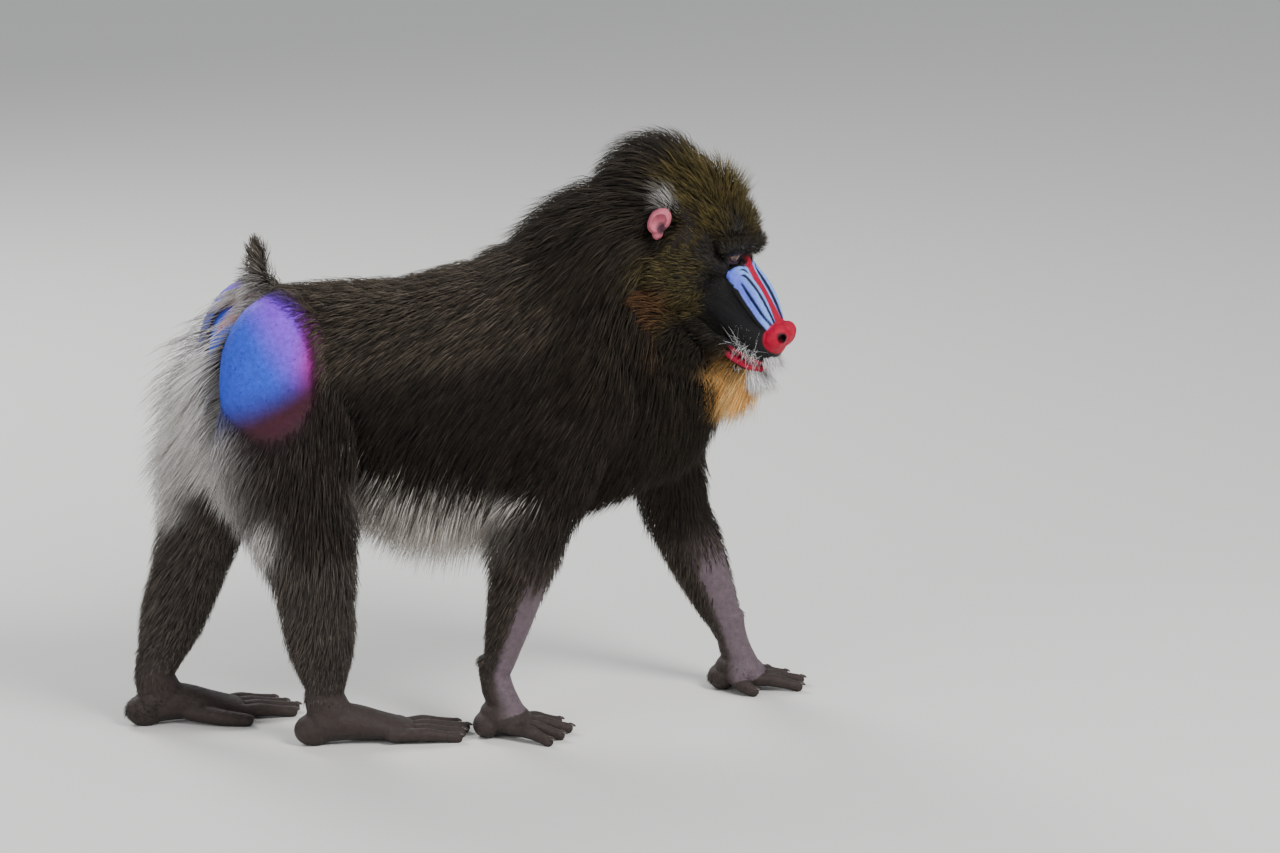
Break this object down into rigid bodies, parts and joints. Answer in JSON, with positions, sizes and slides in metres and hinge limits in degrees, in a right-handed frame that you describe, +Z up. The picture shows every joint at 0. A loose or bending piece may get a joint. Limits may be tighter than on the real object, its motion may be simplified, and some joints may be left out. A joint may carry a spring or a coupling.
{
  "type": "mandrill",
  "caption": "Life-size museum-style model of an adult male mandrill in mid-stride, head turned to its right.",
  "frame": {"origin": "on the floor under the middle of the animal's outline", "axes": "+X the way the animal walks, +Y its left side, +Z up"},
  "size_m": [0.8762, 0.2766, 0.7484],
  "materials": {
    "coat": "matte",
    "beard_hair": "matte",
    "hand_skin": "satin",
    "ear_skin": "satin",
    "nose_skin": "satin",
    "ridge_skin": "satin",
    "rump_skin": "satin",
    "eye_glass": "gloss"
  },
  "bodies": {
    "root": {"beard": "beard_hair", "ear_left": "ear_skin", "ear_right": "ear_skin", "eye_left": "eye_glass", "eye_right": "eye_glass", "foot_left": "hand_skin", "foot_right": "hand_skin", "forearm_left": "coat", "forearm_right": "coat", "hand_left": "hand_skin", "hand_right": "hand_skin", "head": "coat", "neck": "coat", "nose": "nose_skin", "ridge_left": "ridge_skin", "ridge_right": "ridge_skin", "rump_left": "rump_skin", "rump_right": "rump_skin", "shin_left": "coat", "shin_right": "coat", "tail": "coat", "thigh_left": "coat", "thigh_right": "coat", "torso": "coat", "upper_arm_left": "coat", "upper_arm_right": "coat"}
  },
  "joints": []
}
